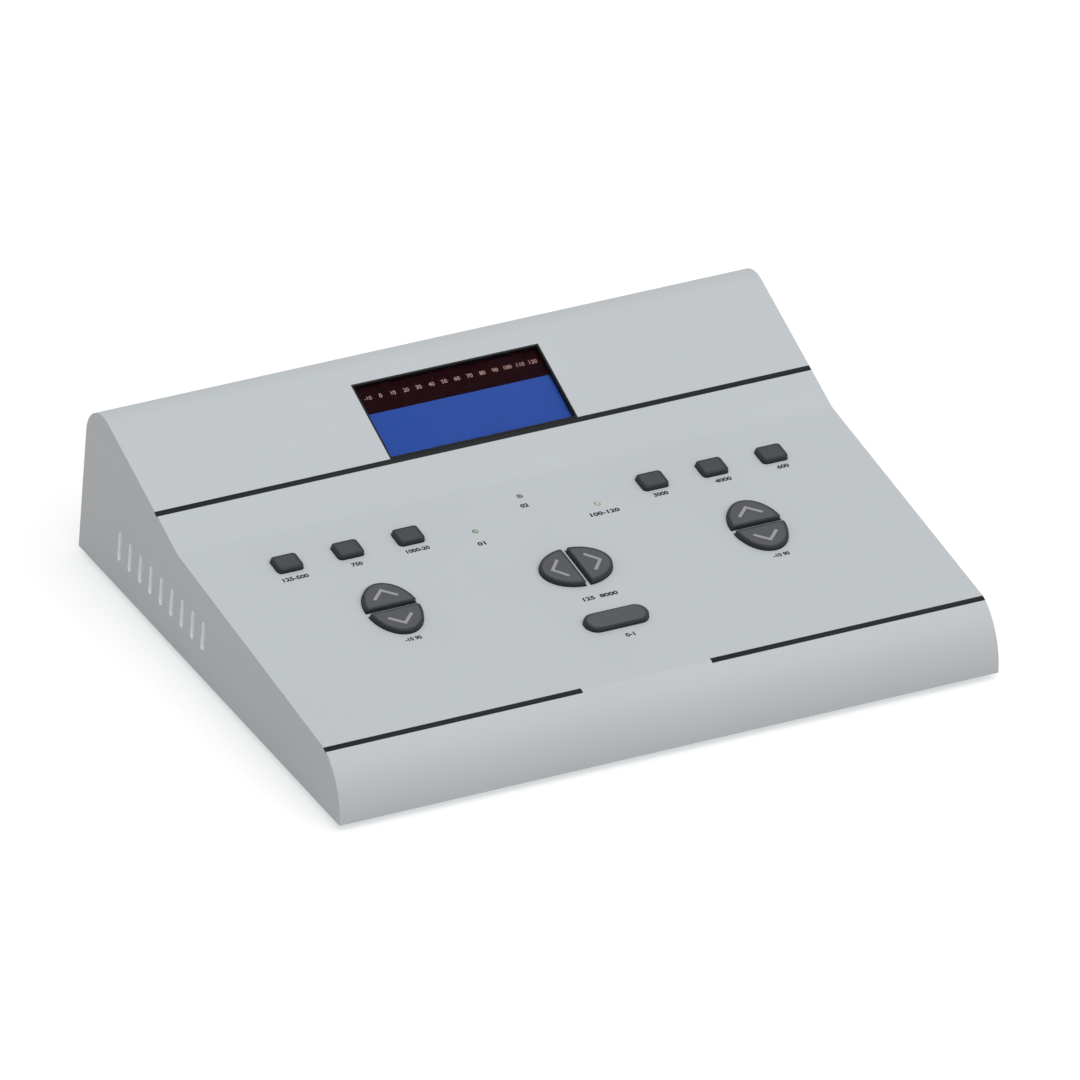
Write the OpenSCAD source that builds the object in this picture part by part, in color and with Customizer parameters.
// Desktop audiometer: a wedge-shaped moulded case with a sloping key panel, a display slope
// above it, louvred cheeks, and its sockets and mains inlet in a recess at the back.
// Millimetres. X is the width, Y runs from the front to the back, and Z is up.
// The origin is on the table, under the middle of the case.

/* [Case] */
// Overall width of the case
body_w = 360; // [350:1:380]
// Depth from the nose to the back
body_d = 271.4; // [268:0.2:284]
// Height of the case from its lower edge to its top
body_h = 82.2; // [80:0.2:88]
// Wall of the moulded top shell
wall = 2.8; // [2.4:0.1:3.2]
// Radius of the rounded nose
nose_r = 36.3; // [34:0.1:38]
// How far the nose curve turns before the key panel starts, in degrees
nose_arc = 61.5; // [60:0.5:64]
// Radius of the rounding along the top of the back
top_r = 16; // [12:0.5:18]
// Rise of the key panel, in degrees
panel_slope = 7.14; // [6.5:0.02:7.6]
// Rise of the display slope, in degrees
display_slope = 21.4; // [20.5:0.1:22.5]
// Radius of the hollow blend between the two slopes
bend_r = 20; // [10:1:30]
// Vent slots in each cheek
vent_count = 9; // [7:1:10]
// Distance from one vent slot to the next
vent_pitch = 10.9; // [9.5:0.1:11.5]
// Width of a vent slot
vent_w = 3.2; // [2.4:0.1:3.8]
// Height of a vent slot
vent_h = 15.5; // [12:0.5:20]
// Height of the vent slots' lower ends above the case's lower edge
vent_z = 15; // [12:0.5:18]
// Distance from the back to the last vent slot's middle
vent_back = 40.5; // [36:0.1:43]

/* [Base plate, feet and case screws] */
// Thickness of the steel base plate
base_t = 2; // [1.5:0.1:2.5]
// Gap between the base plate and the shell round it
base_gap = 0.4; // [0.3:0.1:0.8]
// Height of a rubber foot
foot_h = 3.5; // [3:0.1:5]
// Radius of a rubber foot
foot_r = 8; // [7:0.5:9]
// Distance of a foot's middle from the side of the case
foot_side = 22; // [20:0.5:26]
// Distance of the front feet's middle from the nose
foot_front = 26; // [24:0.5:30]
// Distance of the rear feet's middle from the back
foot_back = 30; // [28:0.5:34]
// Radius of the screw posts inside the shell
post_r = 5; // [4.5:0.1:5.5]

/* [Trim strips] */
// Width of the dark trim strips
trim_w = 3; // [2.4:0.1:3.6]
// Depth of the grooves that hold them
trim_depth = 0.9; // [0.7:0.1:1.2]
// How far a strip stands out of its groove
trim_proud = 0.1; // [0.05:0.05:0.3]
// Side clearance between a strip and its groove
trim_gap = 0.05; // [0.03:0.01:0.1]
// Distance of the upper strip below the rounding at the top, along the display slope
strip_down = 56.2; // [55.6:0.1:58.2]
// Where the left front strip ends, left of the middle
front_gap_left = 41; // [35:0.5:45]
// Where the right front strip starts, right of the middle
front_gap_right = 29.5; // [27:0.5:37]

/* [Display] */
// Width of the display window
window_w = 103.2; // [96:0.2:108]
// Height of the window, along the slope
window_h = 46.9; // [45:0.1:48]
// Clearance between the bezel and the shell
bezel_gap = 0.15; // [0.1:0.05:0.3]
// Wall of the bezel
bezel_wall = 1; // [0.8:0.1:1.4]
// Width of the bezel's flange behind the shell
bezel_flange = 4; // [3:0.1:5]
// Thickness of the bezel's flange
bezel_flange_t = 1.2; // [1:0.1:1.4]
// Depth of the clear lens below the slope
lens_depth = 2.2; // [1.6:0.1:2.6]
// Thickness of the clear lens
lens_t = 0.8; // [0.6:0.1:1]
// Height of the liquid crystal panel's lower, blue part, along the slope
lcd_h = 28.3; // [26:0.1:30]
// Thickness of the two display panels
panel_t = 2.6; // [2:0.1:3]
// How far the display board reaches beyond the bezel's flange at each side
display_side = 11.4; // [9.4:0.1:15]
// How far it reaches beyond the flange above and below
display_over = 0.5; // [0:0.1:1.4]
// Radius of the display board's screw posts
display_post_r = 2.8; // [2.4:0.1:3]

/* [Keys] */
// Height of a key's top above the panel
key_rise = 2.3; // [1.8:0.1:3]
// Travel of a key
key_travel = 1; // [0.6:0.1:1.3]
// Clearance round a key in its opening
key_gap = 0.35; // [0.25:0.05:0.4]
// Chamfer round a key's top
key_chamfer = 0.7; // [0.4:0.1:1]
// Thickness of the flange that keeps a key in
key_flange_t = 1; // [0.8:0.1:1.4]
// Width of that flange beyond the key's side
key_flange = 0.9; // [0.7:0.05:1]
// Width of a square key
select_w = 13.8; // [13:0.1:15]
// Height of a square key, along the panel
select_h = 11; // [10.4:0.1:12]
// Distance from one square key to the next
select_pitch = 33; // [30:0.5:34]
// Distance of the outermost square keys' middle from the side of the case
select_side = 47; // [43:0.5:52]
// Place of the square keys up the panel, in hundredths of its length
select_at = 84.8; // [83.5:0.1:86]
// Corner radius of the square and bar keys' sides
key_corner = 2; // [1:0.1:3]
// Length of a divided oval key pair
oval_long = 37.6; // [36:0.2:38.8]
// Breadth of a divided oval key pair
oval_short = 27.4; // [25.4:0.2:28.4]
// Gap between the two keys of a pair
oval_split = 2.6; // [2.4:0.1:3]
// Place of the oval pairs up the panel, in hundredths of its length
oval_at = 54.2; // [53:0.1:55.8]
// Length of the bar key
bar_w = 34.2; // [31:0.2:38]
// Height of the bar key, along the panel
bar_h = 12.2; // [11.4:0.1:13]
// Place of the bar key up the panel, in hundredths of its length
bar_at = 27.4; // [26.2:0.1:28.2]
// Radius of a key's round stem
stem_r = 1.75; // [1.5:0.05:2]
// Radial clearance of the stem in its switch
stem_gap = 0.15; // [0.1:0.05:0.25]
// How deep the stem reaches into its switch
stem_reach = 0.8; // [0.6:0.1:1]
// Side of a square key switch
switch_w = 7.5; // [7:0.1:8]
// Height of a key switch
switch_h = 3.6; // [3.4:0.1:4.2]

/* [Indicator lights] */
// Radius of a light
led_r = 1.5; // [1.3:0.05:1.8]
// How far a light's dome stands above the panel
led_proud = 0.8; // [0.4:0.1:1.2]
// Clearance round a light in its opening
led_gap = 0.1; // [0.06:0.02:0.2]
// Distance of the two outer lights from the middle
led_x = 33.5; // [31:0.5:36]
// Place of the outer lights up the panel, in hundredths of its length
led_at = 80.7; // [79:0.1:82]
// Place of the middle light up the panel, in hundredths of its length
led_mid_at = 91.9; // [90.7:0.1:93]

/* [Boards and cables] */
// Thickness of the circuit boards
board_t = 1.6; // [1.2:0.1:2]
// How far the control board reaches beyond the outermost square keys' middle
control_side = 15; // [14:0.5:17]
// How far the control board reaches below the bar key
control_below = 3.7; // [2.5:0.1:5]
// Distance of the control board's rear edge from the bend
control_back = 2.6; // [1.6:0.1:3.6]
// Radius of the control board's screw posts
control_post_r = 3; // [2.5:0.1:3]
// Gap between the power board and the main board
board_space = 15; // [12:0.5:18]
// How far the main board reaches beyond the last socket's middle
main_reach = 26; // [22:0.5:29]
// Distance of the power board from the side of the case
power_side = 14; // [13:0.5:20]
// Clearance between the transformer and the parts beside it
core_gap = 2; // [1.5:0.5:4]
// Depth of the power board
power_d = 58; // [54:0.5:59]
// Height of the power board's standoffs
power_standoff = 6; // [5:0.5:8]
// Side of a transformer lamination stack, along X
core_w = 38; // [34:0.5:40]
// Width of each of its core's two windows
core_window = 8.4; // [7.5:0.1:9]
// Height of the transformer's core
core_h = 30; // [26:0.5:32]
// Depth of the transformer's core, along Y
core_d = 22; // [18:0.5:24]
// Height of a cable header above its board
header_h = 6; // [5:0.5:6.5]
// Thickness of a ribbon cable
ribbon_t = 1; // [0.8:0.1:1.2]
// Radius of a ribbon cable's bends, to its middle
ribbon_r = 6; // [5:0.5:7]
// Straight length of the control board's ribbon, before it bends down to the main board
control_run = 12.3; // [10:0.1:14]
// Radius of a mains wire
wire_r = 1.2; // [0.9:0.05:1.4]
// Radius of a mains wire's bend
wire_bend = 6; // [5:0.5:7]

/* [Rear panel] */
// Margin of the recess at each side of the back
rear_side = 20; // [18:0.5:23]
// Height of the recess
rear_h = 46; // [44:0.5:48]
// Height of the recess's lower edge above the case's lower edge
rear_sill = 9; // [8:0.5:9.5]
// Depth of the panel's face inside the back
rear_recess = 8; // [7.5:0.1:9]
// Thickness of the panel
rear_t = 2; // [1.6:0.1:2.5]
// Clearance round the panel
rear_gap = 0.3; // [0.2:0.1:0.5]
// Width of the ledge that the panel is screwed to
ledge_w = 7; // [6.5:0.1:7.4]
// Thickness of the ledge
ledge_t = 5; // [4:0.5:6]
// Wall of the collar round the recess
collar_t = 2.5; // [2:0.1:3]

/* [Sockets] */
// Number of phone sockets
jack_count = 4; // [3:1:4]
// Distance from one socket to the next
jack_pitch = 28; // [26:0.5:30]
// Distance of the last socket's middle from the recess's right edge
jack_side_gap = 36; // [32:0.5:40]
// Height of the sockets' middle above the case's lower edge
socket_z = 30; // [29:0.2:31]
// Radius of a socket's bore, for a 6.35 mm plug
jack_bore_r = 3.25; // [3.2:0.01:3.3]
// Depth of the bore behind the mouth
jack_bore_l = 31; // [30:0.5:32]
// Side of a socket's square body
jack_side = 13; // [12:0.2:14]
// Length of a socket's body behind the panel
jack_l = 31; // [30:0.5:34]
// Radius of the socket's threaded neck
neck_r = 4.7; // [4.4:0.1:5]
// How far the neck stands out of the panel
neck_proud = 3.5; // [3:0.1:4]
// Width of the hexagonal nut across its flats
nut_af = 13; // [12:0.5:14]
// Thickness of the nut
nut_t = 2.2; // [2:0.1:2.6]

/* [Power entry] */
// Distance of the power entry's middle from the recess's left edge
entry_side_gap = 45; // [42:0.5:48]
// Width of the entry's body behind the panel
entry_w = 50; // [49:0.2:52]
// Height of the entry's body
entry_h = 27; // [26.6:0.2:27.4]
// Depth of the entry's body, from the front of its flange
entry_d = 24; // [23:0.5:26]
// Width of the flange
flange_w = 64; // [63:0.5:66]
// Height of the flange
flange_h = 31; // [30:0.5:32]
// Thickness of the flange
flange_t = 2; // [1.6:0.1:2.4]
// Breadth of the inlet's cavity, across its rows of pins
inlet_w = 16.8; // [16.4:0.1:17]
// Length of the inlet's cavity
inlet_h = 24.4; // [24:0.1:24.4]
// Depth of the inlet's cavity
inlet_d = 16; // [15:0.5:17]
// Breadth of the fuse drawer
fuse_w = 7; // [6.8:0.1:7.2]
// Length of the fuse drawer
fuse_h = 22.6; // [22.6:0.1:23.2]
// Depth of the fuse drawer
fuse_d = 17; // [15:0.5:18]
// Clearance round the fuse drawer
fuse_gap = 0.2; // [0.15:0.05:0.3]
// Radius of the glass fuse
fuse_r = 2.6; // [2.5:0.05:2.6]
// Length of the glass fuse
fuse_l = 20; // [19.8:0.1:20]
// Breadth of the mains rocker
rocker_w = 12.2; // [11.8:0.1:12.4]
// Radius that the rocker's ends turn on
rocker_r = 9.7; // [9.2:0.1:9.8]
// Tilt of the rocker to each side of its middle, in degrees
rocker_tilt = 8; // [6:0.5:9]
// Radius of the rocker's pivot pins
pivot_r = 1.5; // [1.2:0.1:1.6]
// Radial clearance of the pins
pivot_gap = 0.05; // [0.03:0.01:0.08]

/* [Screws] */
// Radius of the M3 screws
screw_r = 1.5; // [1.4:0.05:1.5]
// Radius of an M3 screw's head
head_r = 2.75; // [2.6:0.05:3]
// Height of an M3 screw's head
head_h = 1.8; // [1.6:0.1:2.2]
// Radius of the small board screws
small_screw_r = 1.1; // [1:0.05:1.2]
// Radius of a small screw's head
small_head_r = 2; // [1.8:0.1:2.1]
// Height of a small screw's head
small_head_h = 1.4; // [1.2:0.1:1.6]
// Radial clearance of a screw in its pilot hole
pilot_gap = 0.05; // [0.03:0.01:0.1]
// Radial clearance of a screw in a plate
hole_gap = 0.25; // [0.2:0.05:0.4]
// Width of a hexagonal standoff across its flats
standoff_af = 5.5; // [5:0.1:6]

/* [Hidden] */
$fn = 64;
// How far a cutter runs past the face that it opens
past = 1;
// Thickness of the slab that closes a blend
skin = 0.01;
// Gap that keeps the key flanges off the shell behind them
seat_gap = 0.1;
// Gap left under a key that is pressed right down
stop_gap = 0.3;

// The front kink, where the nose meets the key panel, as (depth, height) in the case
kink_y = nose_r * (1 - cos(nose_arc));
kink_z = nose_r * sin(nose_arc);
// Middle of the rounding along the top of the back
crown_y = body_d - top_r;
crown_z = body_h - top_r;

// Height of the key panel's line, and of the display slope's, each moved inwards by inset
function panel_z(y, inset = 0) = kink_z + (y - kink_y) * tan(panel_slope) - inset / cos(panel_slope);
function slope_z(y, inset = 0) =
    crown_z + (y - crown_y) * tan(display_slope) + (top_r - inset) / cos(display_slope);
function bend_y(inset = 0) =
    (slope_z(0, inset) - panel_z(0, inset)) / (tan(panel_slope) - tan(display_slope));

// Lengths of the key panel, and of the display slope up to the rounding at the top
panel_l = (bend_y() - kink_y) / cos(panel_slope);
slope_l = (crown_y - top_r * sin(display_slope) - bend_y()) / cos(display_slope);

// The first vent slot's middle
vent_y = body_d - vent_back - (vent_count - 1) * vent_pitch;

// Levels below the key panel's face, along its normal
flange_top = -wall - seat_gap;
flange_under = flange_top - key_flange_t;
switch_top = flange_under - key_travel - stop_gap;
control_top = switch_top - switch_h;
control_under = control_top - board_t;

// Levels below the display slope's face
lens_top = -lens_depth;
screen_top = lens_top - lens_t;
display_top = screen_top - panel_t;
display_under = display_top - board_t;
// Lower edge of the window above the upper strip's middle, and the inside of the bezel
window_low = trim_w / 2;
bezel_in = bezel_gap + bezel_wall;
screen_gap = 0.1;
screen_w = window_w - 2 * bezel_in - 2 * screen_gap;
screen_low = window_low + bezel_in + screen_gap;
screen_high = window_low + window_h - bezel_in - screen_gap;
lcd_high = screen_low + lcd_h;
display_mid = window_low + window_h / 2;

// The upper strip's place on the display slope
strip_y = bend_y() + (slope_l - strip_down) * cos(display_slope);
strip_z = slope_z(strip_y);

// Places on the key panel: each level pair stands below the middle one of three square keys
select_x = body_w / 2 - select_side - 2 * select_pitch;
level_x = select_x + select_pitch;
select_v = panel_l * select_at / 100;
oval_v = panel_l * oval_at / 100;
bar_v = panel_l * bar_at / 100;
led_v = panel_l * led_at / 100;
led_mid_v = panel_l * led_mid_at / 100;

// Key: name, across, up the panel, outline, turn; an oval half is drawn up and turned round
KEYS = [
    ["select_key_1", -select_x - 2 * select_pitch, select_v, "square", 0],
    ["select_key_2", -select_x - select_pitch, select_v, "square", 0],
    ["select_key_3", -select_x, select_v, "square", 0],
    ["select_key_4", select_x, select_v, "square", 0],
    ["select_key_5", select_x + select_pitch, select_v, "square", 0],
    ["select_key_6", select_x + 2 * select_pitch, select_v, "square", 0],
    ["left_level_up_key", -level_x, oval_v, "half", 0],
    ["left_level_down_key", -level_x, oval_v, "half", 180],
    ["right_level_up_key", level_x, oval_v, "half", 0],
    ["right_level_down_key", level_x, oval_v, "half", 180],
    ["frequency_down_key", 0, oval_v, "half", 90],
    ["frequency_up_key", 0, oval_v, "half", 270],
    ["tone_bar_key", 0, bar_v, "bar", 0]
];
// Distance of an oval half's stem from the middle of its pair
half_stem = (oval_long + oval_split) / 4;

LIGHTS = [[-led_x, led_v], [0, led_mid_v], [led_x, led_v]];

// Distance of a board's corner screws from its edges
corner_in = 5;

// Control board, and its screw posts: one at each corner and two in the middle line
control_half_w = select_x + 2 * select_pitch + control_side;
control_front_v = bar_v - bar_h / 2 - control_below;
control_rear_v = panel_l - control_back;
control_post_x = control_half_w - corner_in;
control_posts = [
    [-control_post_x, control_front_v + corner_in + 1], [control_post_x, control_front_v + corner_in + 1],
    [-control_post_x, control_rear_v - corner_in - 1], [control_post_x, control_rear_v - corner_in - 1],
    [0, (bar_v + bar_h / 2 + oval_v - oval_short / 2) / 2], [0, (oval_v + led_mid_v) / 2 + corner_in + 1]
];

// Display board, and its screw posts outside the bezel's flange
display_half_w = window_w / 2 + bezel_flange + display_side;
display_half_h = window_h / 2 + bezel_flange + display_over;
display_posts = [for (x = [-1, 1], w = [-1, 1])
    [x * (display_half_w - corner_in), display_mid + w * (display_half_h - corner_in - 3)]];

// Case screws, feet and the posts above them
foot_spots = [for (x = [-1, 1], y = [foot_front, body_d - foot_back]) [x * (body_w / 2 - foot_side), y]];
foot_bore_r = head_r + 0.6;
foot_seat = 1.5;
case_screw_l = 14;

// The recess at the back: its width, and the faces of its panel and ledge as depths from the nose
rear_w = body_w - 2 * rear_side;
rear_face = body_d - rear_recess;
rear_inside = rear_face - rear_t;
ledge_face = rear_inside - ledge_t;
rear_mid_z = rear_sill + rear_h / 2;
rear_screw_in = ledge_w / 2;
rear_screws = [for (x = [-1, 0, 1], z = [-1, 1])
    [x * (rear_w / 2 - rear_screw_in), rear_mid_z + z * (rear_h / 2 - rear_screw_in)]];

// A point of the key panel's frame, and one of the display's, as (depth, height) in the case
function panel_point(v, n) = [
    kink_y + v * cos(panel_slope) - n * sin(panel_slope),
    kink_z + v * sin(panel_slope) + n * cos(panel_slope)
];
function slope_point(w, n) = [
    strip_y + w * cos(display_slope) - n * sin(display_slope),
    strip_z + w * sin(display_slope) + n * cos(display_slope)
];

// Cable headers: half width, depth, the ribbons' places across the case, and the depth at which
// the control board's ribbon comes down
header_half = 16;
header_d = 8;
control_ribbon_x = 75;
display_ribbon_x = 25;
ribbon_half = 13;
control_ribbon_start = panel_point(control_rear_v - 2, control_under - header_h / 2);
control_header_y = control_ribbon_start[0] + control_run * cos(panel_slope)
    + ribbon_r * (1 + sin(panel_slope));

// The power entry's face and middle, the walls round its three fittings, and their middles
entry_face = rear_face + flange_t;
entry_x = entry_side_gap - rear_w / 2;
entry_wall = 2.6;
entry_rib = 3.2;
rocker_depth = 3;
rocker_gap = 0.2;
inlet_x = entry_x - entry_w / 2 + entry_wall + inlet_w / 2;
fuse_x = inlet_x + inlet_w / 2 + entry_rib + fuse_gap + fuse_w / 2;
rocker_x = fuse_x + fuse_w / 2 + fuse_gap + entry_rib + rocker_gap + rocker_w / 2;
entry_screw_x = flange_w / 2 - 3.5;
// Terminal block for the mains wires, in line with the inlet: its half width, half depth and height
block_half_w = 7;
block_half_d = 11;
block_h = 9;

// The sockets' places, and the boards' levels and places
jack_first = rear_w / 2 - jack_side_gap - (jack_count - 1) * jack_pitch;
jack_last = rear_w / 2 - jack_side_gap;
power_under = base_t + power_standoff;
power_top = power_under + board_t;
power_back = rear_face + flange_t - entry_d - 6;
power_front = power_back - power_d;
power_left = power_side - body_w / 2;
power_right = inlet_x + block_half_w + core_w + 2 * core_gap + header_d + 2;
main_top = socket_z - jack_side / 2;
main_under = main_top - board_t;
main_back = rear_inside - 1;
main_front = control_header_y - header_d / 2 - corner_in;
main_left = power_right + board_space;
main_right = jack_last + main_reach;
main_posts = [for (x = [main_left + corner_in, (main_left + main_right) / 2, main_right - corner_in],
                   y = [main_front + corner_in, main_back - jack_l - corner_in]) [x, y]];
power_posts = [for (x = [power_left + corner_in, power_right - corner_in],
                    y = [power_front + corner_in, power_back - corner_in]) [x, y]];

// Mains pins: across, height above the inlet's middle, and their section
pin_long = 4;
pin_thin = 2;
PINS = [[pin_long / 2, 7], [pin_long / 2, -7], [-pin_long / 2, 0]];
pin_tip = 2;
tab_l = 8;
tab_t = 0.8;

// ---- Frames and small helpers

// Case frame: across, back from the nose, up from the case's lower edge
module in_case() {
    translate([0, -body_d / 2, foot_h])
        children();
}

// Key panel frame: across, up the panel from the front strips, out of the panel
module on_panel() {
    in_case()
        translate([0, kink_y, kink_z])
            rotate([panel_slope, 0, 0])
                children();
}

// Display frame: across, up the slope from the upper strip, out of the slope
module on_slope() {
    in_case()
        translate([0, strip_y, strip_z])
            rotate([display_slope, 0, 0])
                children();
}

// A (depth, height) outline run across the case
module across(w) {
    rotate([90, 0, 90])
        linear_extrude(w, center = true)
            children();
}

// Turns a piece that points up so that it points to the back
module facing_back() {
    rotate([-90, 0, 0])
        children();
}

module box(low, high) {
    translate(low)
        cube(high - low);
}

module round_rect(w, h, r) {
    square([w - 2 * r, h], center = true);
    square([w, h - 2 * r], center = true);
    for (x = [-1, 1], y = [-1, 1])
        translate([x * (w / 2 - r), y * (h / 2 - r)])
            circle(r);
}

// A pan-head screw, its head's underside at 0 and its shank pointing up
module screw(r, l, hr, hh) {
    translate([0, 0, -hh])
        cylinder(r = hr, h = hh);
    cylinder(r = r, h = l);
}

// ---- Case

// Side outline of the case, moved inwards by inset and carried down by under
module side_outline(inset, under) {
    by = bend_y(inset);
    r = top_r - inset;
    intersection() {
        union() {
            polygon([
                [0, -under], [0, panel_z(0, inset)], [by, panel_z(by, inset)],
                [crown_y - r * sin(display_slope), crown_z + r * cos(display_slope)],
                [crown_y, crown_z], [crown_y + r, crown_z], [crown_y + r, -under]
            ]);
            translate([crown_y, crown_z])
                circle(r);
            if (inset == 0)
                bend_blend();
        }
        union() {
            translate([nose_r, -under])
                square([body_d, body_h + under + past]);
            translate([nose_r, 0])
                circle(nose_r - inset);
            if (under > 0)
                translate([inset, -under])
                    square([nose_r, under]);
        }
    }
}

// The hollow fillet on the outside, where the key panel turns up into the display slope;
// its foot reaches into the wall
module bend_blend() {
    steps = 8;
    by = bend_y();
    bz = panel_z(by);
    tangent = bend_r * tan((display_slope - panel_slope) / 2);
    first = [by, bz] - tangent * [cos(panel_slope), sin(panel_slope)];
    middle = first + bend_r * [-sin(panel_slope), cos(panel_slope)];
    polygon(concat([[by, bz - wall / 2]],
        [for (i = [0:steps]) let (a = panel_slope + (display_slope - panel_slope) * i / steps)
            middle + bend_r * [sin(a), -cos(a)]]));
}

module top_shell() {
    color([0.76, 0.78, 0.79])
        difference() {
            union() {
                shell_body();
                case_posts();
                rear_collar();
                on_panel()
                    for (p = control_posts)
                        translate([p[0], p[1], control_top])
                            cylinder(r = control_post_r, h = -control_top - wall / 2);
                on_slope()
                    for (p = display_posts)
                        translate([p[0], p[1], display_top])
                            cylinder(r = display_post_r, h = -display_top - wall / 2);
            }
            panel_openings();
            slope_openings();
            front_groove();
            vents();
            rear_opening();
            shell_pilots();
        }
}

module shell_body() {
    in_case()
        difference() {
            across(body_w)
                side_outline(0, 0);
            across(body_w - 2 * wall)
                side_outline(wall, past);
        }
}

// Screw posts that stand from the shell's roof to the base plate
module case_posts() {
    in_case()
        intersection() {
            across(body_w - wall)
                side_outline(wall / 2, 0);
            for (p = foot_spots)
                translate([p[0], p[1], base_t])
                    cylinder(r = post_r, h = body_h);
        }
}

// Collar and ledge that hold the rear panel
module rear_collar() {
    in_case()
        box([-rear_w / 2 - collar_t, ledge_face, rear_sill - collar_t],
            [rear_w / 2 + collar_t, body_d - wall / 2, rear_sill + rear_h + collar_t]);
}

module rear_opening() {
    in_case() {
        box([-rear_w / 2, rear_inside, rear_sill],
            [rear_w / 2, body_d + past, rear_sill + rear_h]);
        box([-rear_w / 2 + ledge_w, ledge_face - past, rear_sill + ledge_w],
            [rear_w / 2 - ledge_w, body_d, rear_sill + rear_h - ledge_w]);
        for (p = rear_screws)
            translate([p[0], ledge_face - past, p[1]])
                facing_back()
                    cylinder(r = screw_r + pilot_gap, h = ledge_t + 2 * past);
    }
}

// A key's outline, grown by grow on every side
module key_outline(kind, grow) {
    if (kind == "square")
        round_rect(select_w + 2 * grow, select_h + 2 * grow, key_corner + grow);
    if (kind == "bar")
        round_rect(bar_w + 2 * grow, bar_h + 2 * grow, bar_h / 2 + grow - skin);
    if (kind == "half")
        oval_half(oval_short / 2 + grow, oval_long / 2 + grow, oval_split / 2 - grow);
}

// The part of an ellipse above the line at height low
module oval_half(rx, ry, low) {
    steps = 40;
    first = asin(low / ry);
    polygon([for (i = [0:steps]) let (a = first + (180 - 2 * first) * i / steps) [rx * cos(a), ry * sin(a)]]);
}

module at_key(k) {
    on_panel()
        translate([k[1], k[2], 0])
            rotate([0, 0, k[4]])
                children();
}

module panel_openings() {
    for (k = KEYS)
        at_key(k)
            translate([0, 0, -wall - past])
                linear_extrude(wall + 2 * past)
                    key_outline(k[3], key_gap);
    on_panel()
        for (p = LIGHTS)
            translate([p[0], p[1], -wall - past])
                cylinder(r = led_r + led_gap, h = wall + 2 * past);
}

module slope_openings() {
    on_slope() {
        box([-window_w / 2, window_low, -wall - past],
            [window_w / 2, window_low + window_h, past]);
        box([-body_w / 2 - past, -trim_w / 2, -trim_depth],
            [body_w / 2 + past, trim_w / 2, past]);
    }
}

// Frame of the front strips: it splits the angle between the nose and the key panel, and lies as
// deep as the case falls away at a strip's two long edges
module on_kink() {
    in_case()
        translate([0, kink_y, kink_z])
            rotate([(90 - nose_arc + panel_slope) / 2, 0, 0])
                translate([0, 0, -trim_w / 2 * tan((90 - nose_arc - panel_slope) / 2)])
                    children();
}

module front_groove() {
    on_kink() {
        box([-body_w / 2 - past, -trim_w / 2, -trim_depth], [-front_gap_left, trim_w / 2, past]);
        box([front_gap_right, -trim_w / 2, -trim_depth], [body_w / 2 + past, trim_w / 2, past]);
    }
}

// Upright round-ended slots through both cheeks
module vents() {
    in_case()
        for (i = [0:vent_count - 1])
            translate([0, vent_y + i * vent_pitch, vent_z + vent_h / 2])
                across(body_w + 2 * past)
                    round_rect(vent_w, vent_h, vent_w / 2 - skin);
}

// Holes for the screws that come up into the shell's posts
module shell_pilots() {
    in_case()
        for (p = foot_spots)
            translate([p[0], p[1], -past])
                cylinder(r = screw_r + pilot_gap, h = case_screw_l + 2 * past);
    on_panel()
        for (p = control_posts)
            translate([p[0], p[1], control_top - past])
                cylinder(r = small_screw_r + pilot_gap, h = -control_top - wall + past);
    on_slope()
        for (p = display_posts)
            translate([p[0], p[1], display_top - past])
                cylinder(r = small_screw_r + pilot_gap, h = -display_top - wall / 2 + past - 0.6);
}

module base_plate() {
    edge = wall + base_gap;
    color([0.35, 0.36, 0.38])
        in_case()
            difference() {
                box([-body_w / 2 + edge, edge, 0], [body_w / 2 - edge, body_d - edge, base_t]);
                for (p = foot_spots)
                    translate([p[0], p[1], -past])
                        cylinder(r = screw_r + hole_gap, h = base_t + 2 * past);
            }
}

module rubber_feet() {
    color([0.1, 0.1, 0.1])
        in_case()
            for (p = foot_spots)
                translate([p[0], p[1], -foot_h])
                    difference() {
                        cylinder(r = foot_r, h = foot_h);
                        translate([0, 0, -past])
                            cylinder(r = foot_bore_r, h = foot_h - foot_seat + past);
                        cylinder(r = screw_r + hole_gap, h = foot_h + past);
                    }
}

module case_screws() {
    color([0.7, 0.7, 0.72])
        in_case()
            for (p = foot_spots)
                translate([p[0], p[1], -foot_seat])
                    screw(screw_r, case_screw_l + foot_seat, head_r, head_h);
}

// ---- Trim

module strip_bar(from, to) {
    half = trim_w / 2 - trim_gap;
    color([0.13, 0.15, 0.16])
        box([from, -half, -trim_depth], [to, half, trim_proud]);
}

module upper_trim_strip() {
    on_slope()
        strip_bar(-body_w / 2, body_w / 2);
}

module front_trim_left() {
    on_kink()
        strip_bar(-body_w / 2, -front_gap_left - trim_gap);
}

module front_trim_right() {
    on_kink()
        strip_bar(front_gap_right + trim_gap, body_w / 2);
}

// ---- Display

module display_bezel() {
    out = window_w / 2 - bezel_gap;
    in = window_w / 2 - bezel_in;
    low = window_low + bezel_gap;
    high = window_low + window_h - bezel_gap;
    reach = bezel_flange + bezel_gap;
    color([0.03, 0.03, 0.04])
        on_slope()
            difference() {
                union() {
                    box([-out, low, display_top], [out, high, 0]);
                    box([-out - reach, low - reach, flange_top - bezel_flange_t],
                        [out + reach, high + reach, flange_top]);
                }
                box([-in, low + bezel_wall, display_top - past], [in, high - bezel_wall, past]);
            }
}

module display_lens() {
    color([0.85, 0.9, 0.95, 0.25])
        on_slope()
            box([-screen_w / 2, screen_low, screen_top], [screen_w / 2, screen_high, lens_top]);
}

module lcd_panel() {
    color([0.18, 0.32, 0.65])
        on_slope()
            box([-screen_w / 2, screen_low, display_top], [screen_w / 2, lcd_high, screen_top]);
}

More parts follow.
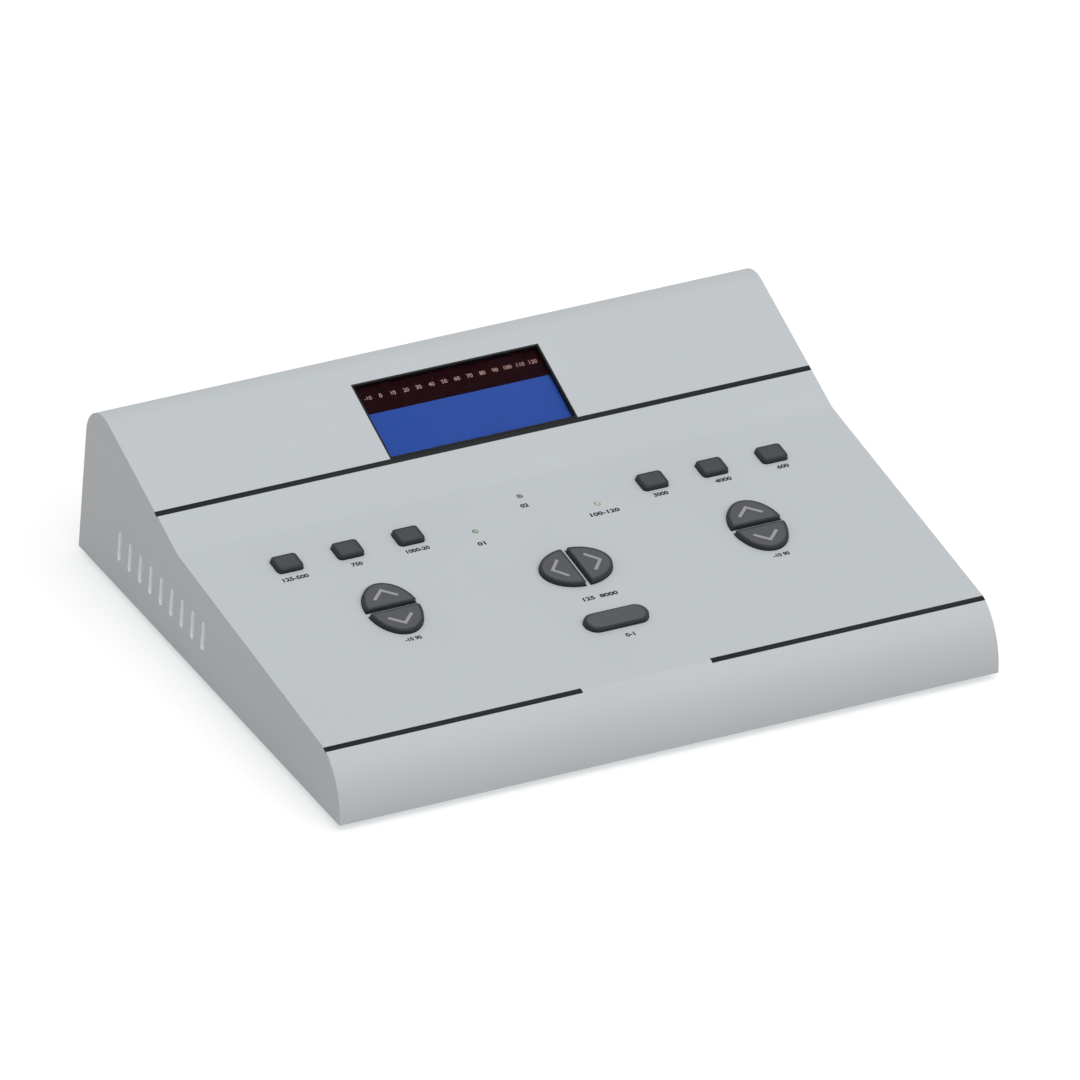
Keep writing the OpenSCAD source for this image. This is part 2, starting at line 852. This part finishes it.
module annunciator_panel() {
    color([0.06, 0.03, 0.04])
        on_slope()
            box([-screen_w / 2, lcd_high, display_top], [screen_w / 2, screen_high, screen_top]);
}

module display_board() {
    color([0.1, 0.35, 0.2])
        on_slope()
            difference() {
                box([-display_half_w, display_mid - display_half_h, display_under],
                    [display_half_w, display_mid + display_half_h, display_top]);
                for (p = display_posts)
                    translate([p[0], p[1], display_under - past])
                        cylinder(r = small_screw_r + hole_gap, h = board_t + 2 * past);
            }
}

module display_board_screws() {
    color([0.7, 0.7, 0.72])
        on_slope()
            for (p = display_posts)
                translate([p[0], p[1], display_under])
                    screw(small_screw_r, board_t - display_top - wall, small_head_r, small_head_h);
}

// ---- Keys

module key_cap(k) {
    stem_at = k[3] == "half" ? half_stem : 0;
    color([0.28, 0.3, 0.31])
        at_key(k) {
            hull() {
                translate([0, 0, flange_under])
                    linear_extrude(key_rise - key_chamfer - flange_under)
                        key_outline(k[3], 0, $fn = 24);
                translate([0, 0, key_rise - skin])
                    linear_extrude(skin)
                        key_outline(k[3], -key_chamfer, $fn = 24);
            }
            translate([0, 0, flange_under])
                linear_extrude(key_flange_t)
                    key_outline(k[3], key_flange, $fn = 24);
            translate([0, stem_at, switch_top - stem_reach])
                cylinder(r = stem_r, h = flange_under - switch_top + stem_reach + key_flange_t / 2);
        }
}

module key_switches() {
    color([0.15, 0.15, 0.16])
        for (k = KEYS)
            at_key(k)
                translate([0, k[3] == "half" ? half_stem : 0, control_top])
                    difference() {
                        linear_extrude(switch_h)
                            square(switch_w, center = true);
                        translate([0, 0, board_t / 2])
                            cylinder(r = stem_r + stem_gap, h = switch_h);
                    }
}

// ---- Indicator lights

module light(p, tint) {
    color(tint)
        on_panel()
            translate([p[0], p[1], control_top]) {
                cylinder(r = led_r, h = led_proud - led_r - control_top);
                cylinder(r = led_r + 0.3, h = 1);
                translate([0, 0, led_proud - led_r - control_top])
                    sphere(led_r);
            }
}

module green_light() {
    light(LIGHTS[0], [0.55, 0.66, 0.5]);
}

module red_light() {
    light(LIGHTS[1], [0.5, 0.45, 0.45]);
}

module yellow_light() {
    light(LIGHTS[2], [0.75, 0.75, 0.55]);
}

// ---- Control board

module control_board() {
    color([0.1, 0.35, 0.2])
        on_panel()
            difference() {
                box([-control_half_w, control_front_v, control_under],
                    [control_half_w, control_rear_v, control_top]);
                for (p = control_posts)
                    translate([p[0], p[1], control_under - past])
                        cylinder(r = small_screw_r + hole_gap, h = board_t + 2 * past);
            }
}

module control_board_screws() {
    color([0.7, 0.7, 0.72])
        on_panel()
            for (p = control_posts)
                translate([p[0], p[1], control_under])
                    screw(small_screw_r, board_t - control_top - wall - 1, small_head_r, small_head_h);
}

// Flat chips, and coolers that stand on edge: the same kinds on every board
chip_side = 14;
chip_h = 2;
cooler_w = 26;
cooler_t = 3;
cooler_h = 14;
// The key scanner chips lie halfway between the oval pairs and the square keys
scanner_v = (oval_v + select_v) / 2;

// The ribbon's header and the key scanner chips on the control board's underside
module control_board_parts() {
    color([0.12, 0.12, 0.13])
        on_panel() {
            box([control_ribbon_x - header_half, control_rear_v - header_d - 2, control_under - header_h],
                [control_ribbon_x + header_half, control_rear_v - 2, control_under]);
            for (x = [-60, -20])
                box([x - chip_side / 2, scanner_v - chip_side / 2, control_under - chip_h],
                    [x + chip_side / 2, scanner_v + chip_side / 2, control_under]);
        }
}

// ---- Main board

module main_board() {
    color([0.1, 0.35, 0.2])
        in_case()
            difference() {
                box([main_left, main_front, main_under], [main_right, main_back, main_top]);
                for (p = main_posts)
                    translate([p[0], p[1], main_under - past])
                        cylinder(r = screw_r + hole_gap, h = board_t + 2 * past);
            }
}

// Where the display's ribbon starts and comes down, and where the supply lead runs
display_header_w = window_low + 8;
display_ribbon_start = slope_point(display_header_w, display_under - header_h);
display_run = 4;
display_header_y = display_ribbon_start[0] + display_run * sin(display_slope)
    + ribbon_r * (1 - cos(display_slope));
header_top = main_top + header_h;
// The control ribbon's header ends under the ribbon's bend where there is less room for it
control_drop_z = control_ribbon_start[1] + control_run * sin(panel_slope) - ribbon_r * cos(panel_slope);
control_header_top = min(header_top, control_drop_z - ribbon_t);
supply_y = (main_front + main_back) / 2 - 10;
supply_main_x = main_left + 14;
supply_power_x = power_right - header_d / 2 - 2;
supply_half = 8;
supply_top = header_top + 2 * ribbon_r;

// The main board's own signal processor and capacitors
processor_side = 24;
small_cap_r = 3;
small_cap_h = 8;
processor_x = supply_main_x + header_d / 2 + 2;
chips_y = main_back - jack_l - 12;
cooler_x = main_right - 12 - cooler_w;

// Headers, signal processor, converters, amplifier cooler and capacitors
module main_board_parts() {
    color([0.14, 0.14, 0.16])
        in_case() {
            box([control_ribbon_x - header_half, control_header_y - header_d / 2, main_top],
                [control_ribbon_x + header_half, control_header_y + header_d / 2, control_header_top]);
            box([display_ribbon_x - header_half, display_header_y - header_d / 2, main_top],
                [display_ribbon_x + header_half, display_header_y + header_d / 2, header_top]);
            box([supply_main_x - header_d / 2, supply_y - supply_half - 1, main_top],
                [supply_main_x + header_d / 2, supply_y + supply_half + 1, header_top]);
            box([processor_x, chips_y, main_top],
                [processor_x + processor_side, chips_y + processor_side, main_top + chip_h]);
            for (x = [display_ribbon_x + header_half + 3, cooler_x - chip_side - 4])
                box([x, chips_y - chip_side, main_top], [x + chip_side, chips_y, main_top + chip_h]);
            box([cooler_x, main_front + 16, main_top],
                [cooler_x + cooler_w, main_front + 16 + cooler_t, main_top + cooler_h]);
            for (i = [0:3])
                translate([cooler_x + 2 + 2.5 * small_cap_r * i, main_front + 28, main_top])
                    cylinder(r = small_cap_r, h = small_cap_h);
        }
}

// Screws that hold a board down on its standoffs
module board_screws_at(spots, top) {
    color([0.7, 0.7, 0.72])
        in_case()
            for (p = spots)
                translate([p[0], p[1], top])
                    rotate([180, 0, 0])
                        screw(screw_r, board_t + 4, head_r, head_h);
}

module main_board_screws() {
    board_screws_at(main_posts, main_top);
}

module power_board_screws() {
    board_screws_at(power_posts, power_top);
}

// Hexagonal pillars between the base plate and the two boards
module standoff(h) {
    difference() {
        cylinder(r = standoff_af / sqrt(3), h = h, $fn = 6);
        translate([0, 0, -past])
            cylinder(r = screw_r + pilot_gap, h = h + 2 * past);
    }
}

module board_standoffs() {
    color([0.75, 0.65, 0.35])
        in_case() {
            for (p = main_posts)
                translate([p[0], p[1], base_t])
                    standoff(main_under - base_t);
            for (p = power_posts)
                translate([p[0], p[1], base_t])
                    standoff(power_standoff);
        }
}

// ---- Power supply

module power_board() {
    color([0.1, 0.35, 0.2])
        in_case()
            difference() {
                box([power_left, power_front, power_under], [power_right, power_back, power_top]);
                for (p = power_posts)
                    translate([p[0], p[1], power_under - past])
                        cylinder(r = screw_r + hole_gap, h = board_t + 2 * past);
            }
}

// Middle of the terminal block
block_y = power_back - 20;
// The transformer stands between the terminal block and the supply header
core_x = inlet_x + block_half_w + core_gap + core_w / 2;
core_y = power_front + 20;
// Smoothing capacitors, in a row left of the block
cap_r = 6;
cap_h = 18;
cap_x = power_left + 14;
cap_y = power_front + 20;
cap_pitch = 16;
supply_header_top = power_top + header_h;

// Laminated core with its two windows, standing on the power board
module transformer_core() {
    win = core_window;
    leg = (core_w - 2 * win) / 4;
    color([0.45, 0.45, 0.47])
        in_case()
            translate([core_x, core_y, power_top])
                difference() {
                    box([-core_w / 2, -core_d / 2, 0], [core_w / 2, core_d / 2, core_h]);
                    for (x = [-leg - win, leg])
                        box([x, -core_d / 2 - past, leg], [x + win, core_d / 2 + past, core_h - leg]);
                }
}

// Winding round the middle leg
module transformer_coil() {
    win = core_window;
    leg = (core_w - 2 * win) / 4;
    proud = win - 0.3;
    color([0.72, 0.45, 0.2])
        in_case()
            translate([core_x, core_y, power_top])
                difference() {
                    box([-leg - proud, -core_d / 2 - proud, leg + 0.3],
                        [leg + proud, core_d / 2 + proud, core_h - leg - 0.3]);
                    box([-leg, -core_d / 2, 0], [leg, core_d / 2, core_h]);
                }
}

// Terminal block, supply header, smoothing capacitors and regulator cooler
module power_board_parts() {
    color([0.14, 0.14, 0.16])
        in_case() {
            box([inlet_x - block_half_w, block_y - block_half_d, power_top],
                [inlet_x + block_half_w, block_y + block_half_d, power_top + block_h]);
            box([supply_power_x - header_d / 2, supply_y - supply_half - 1, power_top],
                [supply_power_x + header_d / 2, supply_y + supply_half + 1, supply_header_top]);
            for (i = [0:1])
                translate([cap_x, cap_y + cap_pitch * i, power_top])
                    cylinder(r = cap_r, h = cap_h);
            box([core_x - cooler_w / 2, power_back - 10, power_top],
                [core_x + cooler_w / 2, power_back - 10 + cooler_t, power_top + cooler_h]);
        }
}

// ---- Cables

// Part of a flat ring of middle radius r and breadth t, from one angle to another
module ring_part(r, t, from, to) {
    far = 2 * r;
    steps = 4;
    intersection() {
        difference() {
            circle(r + t / 2);
            circle(r - t / 2);
        }
        polygon(concat([[0, 0]],
            [for (i = [0:steps]) let (a = from + (to - from) * i / steps) [far * cos(a), far * sin(a)]]));
    }
}

// A flat cable that runs from start at an angle, bends down and ends at end_z
module dropping_ribbon(start, angle, run, end_z) {
    mid = start + run * [cos(angle), sin(angle)] + ribbon_r * [sin(angle), -cos(angle)];
    translate(start)
        rotate(angle)
            translate([0, -ribbon_t / 2])
                square([run, ribbon_t]);
    translate(mid)
        ring_part(ribbon_r, ribbon_t, 0, 90 + angle);
    translate([mid[0] + ribbon_r - ribbon_t / 2, end_z])
        square([ribbon_t, mid[1] - end_z]);
}

module control_ribbon() {
    color([0.6, 0.6, 0.62])
        in_case()
            translate([control_ribbon_x, 0, 0])
                across(2 * ribbon_half)
                    dropping_ribbon(control_ribbon_start, panel_slope, control_run, control_header_top);
}

module display_ribbon() {
    color([0.6, 0.6, 0.62])
        in_case()
            translate([display_ribbon_x, 0, 0])
                across(2 * ribbon_half)
                    dropping_ribbon(display_ribbon_start, display_slope - 90, display_run, header_top);
}

// The header on the display board that its ribbon plugs into
module display_header() {
    color([0.12, 0.12, 0.13])
        on_slope()
            box([display_ribbon_x - header_half, display_header_w - header_d / 2, display_under - header_h],
                [display_ribbon_x + header_half, display_header_w + header_d / 2, display_under]);
}

// A flat lead that rises from the power board, crosses over and drops to the main board
module supply_ribbon() {
    left = supply_power_x;
    right = supply_main_x;
    color([0.55, 0.15, 0.12])
        in_case()
            translate([0, supply_y + supply_half, 0])
                rotate([90, 0, 0])
                    linear_extrude(2 * supply_half) {
                        translate([left - ribbon_t / 2, supply_header_top])
                            square([ribbon_t, supply_top - ribbon_r - supply_header_top]);
                        translate([left + ribbon_r, supply_top - ribbon_r])
                            ring_part(ribbon_r, ribbon_t, 90, 180);
                        translate([left + ribbon_r, supply_top - ribbon_t / 2])
                            square([right - left - 2 * ribbon_r, ribbon_t]);
                        translate([right - ribbon_r, supply_top - ribbon_r])
                            ring_part(ribbon_r, ribbon_t, 0, 90);
                        translate([right - ribbon_t / 2, header_top])
                            square([ribbon_t, supply_top - ribbon_r - header_top]);
                    }
}

tab_end = entry_face - entry_d - tab_l;

// A round wire in an upright plane: it runs forwards from (from_y, high), bends down and ends
// at (to_y, low). Each ring of its skin lies square to the route.
module bent_wire(from_y, to_y, high, low) {
    sides = 12;
    turn = concat([90], [for (a = [90:15:180]) a], [180]);
    last = len(turn) - 1;
    middle = [to_y + wire_bend, high - wire_bend];
    route = [for (i = [0:last])
        i == 0 ? [from_y, high]
            : i == last ? [to_y, low] : middle + wire_bend * [cos(turn[i]), sin(turn[i])]];
    skin_points = [for (i = [0:last], j = [0:sides - 1]) let (t = 360 * j / sides) [
        wire_r * sin(t),
        route[i][0] + wire_r * cos(t) * cos(turn[i]),
        route[i][1] + wire_r * cos(t) * sin(turn[i])
    ]];
    near = [for (i = [0:last - 1], j = [0:sides - 1])
        [i * sides + j, i * sides + (j + 1) % sides, (i + 1) * sides + j]];
    far = [for (i = [0:last - 1], j = [0:sides - 1])
        [i * sides + (j + 1) % sides, (i + 1) * sides + (j + 1) % sides, (i + 1) * sides + j]];
    ends = [[for (j = [sides - 1:-1:0]) j], [for (j = [0:sides - 1]) last * sides + j]];
    polyhedron(skin_points, concat(near, far, ends));
}

// Three wires, each from a tab behind the inlet, forwards and down into the terminal block
module mains_wires() {
    drop = block_half_d - 4;
    drops = [block_y - drop, block_y + drop, block_y];
    color([0.45, 0.3, 0.18])
        in_case()
            for (i = [0:2])
                translate([inlet_x + PINS[i][0], 0, 0])
                    bent_wire(tab_end, drops[i], socket_z + PINS[i][1], power_top + block_h);
}

// ---- Rear panel and what it carries

module rear_panel() {
    color([0.3, 0.31, 0.33])
        in_case()
            difference() {
                box([-rear_w / 2 + rear_gap, rear_inside, rear_sill + rear_gap],
                    [rear_w / 2 - rear_gap, rear_face, rear_sill + rear_h - rear_gap]);
                for (i = [0:jack_count - 1])
                    translate([jack_first + i * jack_pitch, rear_inside - past, socket_z])
                        facing_back()
                            cylinder(r = neck_r + hole_gap, h = rear_t + 2 * past);
                box([entry_x - entry_w / 2 - rear_gap, rear_inside - past,
                     socket_z - entry_h / 2 - rear_gap],
                    [entry_x + entry_w / 2 + rear_gap, rear_face + past,
                     socket_z + entry_h / 2 + rear_gap]);
                for (x = [-1, 1])
                    translate([entry_x + x * entry_screw_x, rear_inside - past, socket_z])
                        facing_back()
                            cylinder(r = screw_r + pilot_gap, h = rear_t + 2 * past);
                for (p = rear_screws)
                    translate([p[0], rear_inside - past, p[1]])
                        facing_back()
                            cylinder(r = screw_r + hole_gap, h = rear_t + 2 * past);
            }
}

// A screw that goes in from the back of the case, its head on the plane at depth y
module rear_screw(x, y, z, l) {
    color([0.7, 0.7, 0.72])
        in_case()
            translate([x, y, z])
                rotate([90, 0, 0])
                    screw(screw_r, l, head_r, head_h);
}

module rear_panel_screws() {
    for (p = rear_screws)
        rear_screw(p[0], rear_face, p[1], rear_t + ledge_t);
}

module entry_screws() {
    for (x = [-1, 1])
        rear_screw(entry_x + x * entry_screw_x, entry_face, socket_z, flange_t + rear_t);
}

// Phone sockets: a square body on the main board and a threaded neck through the panel
module phone_sockets() {
    color([0.08, 0.08, 0.09])
        in_case()
            for (i = [0:jack_count - 1])
                translate([jack_first + i * jack_pitch, 0, socket_z])
                    difference() {
                        union() {
                            box([-jack_side / 2, rear_inside - jack_l, -jack_side / 2],
                                [jack_side / 2, rear_inside, jack_side / 2]);
                            translate([0, rear_inside, 0])
                                facing_back()
                                    cylinder(r = neck_r, h = rear_t + neck_proud);
                        }
                        translate([0, rear_face + neck_proud - jack_bore_l, 0])
                            facing_back()
                                cylinder(r = jack_bore_r, h = jack_bore_l + past);
                    }
}

module socket_nuts() {
    color([0.8, 0.8, 0.8])
        in_case()
            for (i = [0:jack_count - 1])
                translate([jack_first + i * jack_pitch, rear_face, socket_z])
                    facing_back()
                        difference() {
                            cylinder(r = nut_af / sqrt(3), h = nut_t, $fn = 6);
                            translate([0, 0, -past])
                                cylinder(r = neck_r + pilot_gap, h = nut_t + 2 * past);
                        }
}

// The inlet's six-sided mouth: across, and height; two corners are cut off
module inlet_mouth() {
    a = inlet_w / 2;
    b = inlet_h / 2;
    cut = 5;
    polygon([[-a, cut - b], [cut - a, -b], [a, -b], [a, b], [cut - a, b], [-a, b - cut]]);
}

// Moulded body that holds the inlet, the fuse drawer and the rocker side by side
module power_entry() {
    pocket_r = rocker_r + rocker_gap;
    color([0.07, 0.07, 0.08])
        in_case()
            difference() {
                union() {
                    box([entry_x - flange_w / 2, rear_face, socket_z - flange_h / 2],
                        [entry_x + flange_w / 2, entry_face, socket_z + flange_h / 2]);
                    box([entry_x - entry_w / 2, entry_face - entry_d, socket_z - entry_h / 2],
                        [entry_x + entry_w / 2, rear_face, socket_z + entry_h / 2]);
                }
                translate([inlet_x, entry_face - inlet_d, socket_z])
                    rotate([90, 0, 0])
                        translate([0, 0, -inlet_d - past])
                            linear_extrude(inlet_d + past)
                                inlet_mouth();
                box([fuse_x - fuse_w / 2 - fuse_gap, entry_face - fuse_d - fuse_gap,
                     socket_z - fuse_h / 2 - fuse_gap],
                    [fuse_x + fuse_w / 2 + fuse_gap, entry_face + past, socket_z + fuse_h / 2 + fuse_gap]);
                box([rocker_x - rocker_w / 2 - rocker_gap, entry_face - rocker_depth - pocket_r,
                     socket_z - pocket_r],
                    [rocker_x + rocker_w / 2 + rocker_gap, entry_face + past, socket_z + pocket_r]);
                translate([rocker_x, entry_face - rocker_depth, socket_z])
                    rotate([0, 90, 0])
                        cylinder(r = pivot_r + pivot_gap, h = rocker_w + 2 * pivot_l + 0.6, center = true);
                for (p = PINS)
                    pin_blade(p, 0.05);
                for (x = [-1, 1])
                    translate([entry_x + x * entry_screw_x, rear_face - past, socket_z])
                        facing_back()
                            cylinder(r = screw_r + hole_gap, h = flange_t + 2 * past);
            }
}

pivot_l = 1.4;

// One flat mains pin, from its tip in the inlet to the body's back, grown by grow
module pin_blade(p, grow) {
    translate([inlet_x + p[0], 0, socket_z + p[1]])
        box([-pin_long / 2 - grow, entry_face - entry_d - grow, -pin_thin / 2 - grow],
            [pin_long / 2 + grow, entry_face - pin_tip, pin_thin / 2 + grow]);
}

module mains_pins() {
    color([0.8, 0.75, 0.55])
        in_case()
            for (p = PINS) {
                pin_blade(p, 0);
                translate([inlet_x + p[0], tab_end, socket_z + p[1]])
                    box([-pin_long / 2, 0, -tab_t / 2], [pin_long / 2, tab_l, tab_t / 2]);
            }
}

// Fuse drawer: a shallow tray with a lip in front that stops on the flange
module fuse_drawer() {
    lip = 0.8;
    lip_t = 1;
    color([0.1, 0.1, 0.11])
        in_case()
            translate([fuse_x, entry_face, socket_z])
                difference() {
                    union() {
                        box([-fuse_w / 2, -fuse_d, -fuse_h / 2], [fuse_w / 2, 0, fuse_h / 2]);
                        box([-fuse_w / 2 - lip, 0, -fuse_h / 2 - lip],
                            [fuse_w / 2 + lip, lip_t, fuse_h / 2 + lip]);
                    }
                    box([-fuse_w / 2 - past, fuse_seat - fuse_r - 0.1, -fuse_l / 2 - 0.1],
                        [fuse_w / 2 - 0.8, fuse_seat + fuse_r + 0.1, fuse_l / 2 + 0.1]);
                }
}

fuse_seat = -10;

module glass_fuse() {
    color([0.8, 0.85, 0.85])
        in_case()
            translate([fuse_x + fuse_w / 2 - 0.8 - fuse_r - 0.1, entry_face + fuse_seat, socket_z])
                cylinder(r = fuse_r, h = fuse_l, center = true);
}

// Rocker: a shallow V face on a body whose ends lie on a circle about the pivot
module mains_rocker() {
    dip = 1.5;
    skirt = 5;
    color([0.12, 0.12, 0.13])
        in_case()
            translate([rocker_x, entry_face - rocker_depth, socket_z])
                rotate([-rocker_tilt, 0, 0]) {
                    across(rocker_w)
                        intersection() {
                            circle(rocker_r);
                            polygon([[-skirt, -rocker_r], [rocker_depth + dip, -rocker_r], [rocker_depth, 0],
                                     [rocker_depth + dip, rocker_r], [-skirt, rocker_r]]);
                        }
                    rotate([0, 90, 0])
                        cylinder(r = pivot_r, h = rocker_w + 2 * pivot_l, center = true);
                }
}

top_shell();
base_plate();
rear_panel();
upper_trim_strip();
front_trim_left();
front_trim_right();
display_bezel();
display_lens();
lcd_panel();
annunciator_panel();
display_board();
display_header();
for (k = KEYS) key_cap(k);
key_switches();
control_board();
control_board_parts();
green_light();
red_light();
yellow_light();
control_board_screws();
display_board_screws();
main_board();
main_board_parts();
main_board_screws();
power_board();
power_board_parts();
power_board_screws();
transformer_core();
transformer_coil();
board_standoffs();
control_ribbon();
display_ribbon();
supply_ribbon();
mains_wires();
phone_sockets();
socket_nuts();
power_entry();
mains_pins();
fuse_drawer();
glass_fuse();
mains_rocker();
entry_screws();
rear_panel_screws();
rubber_feet();
case_screws();
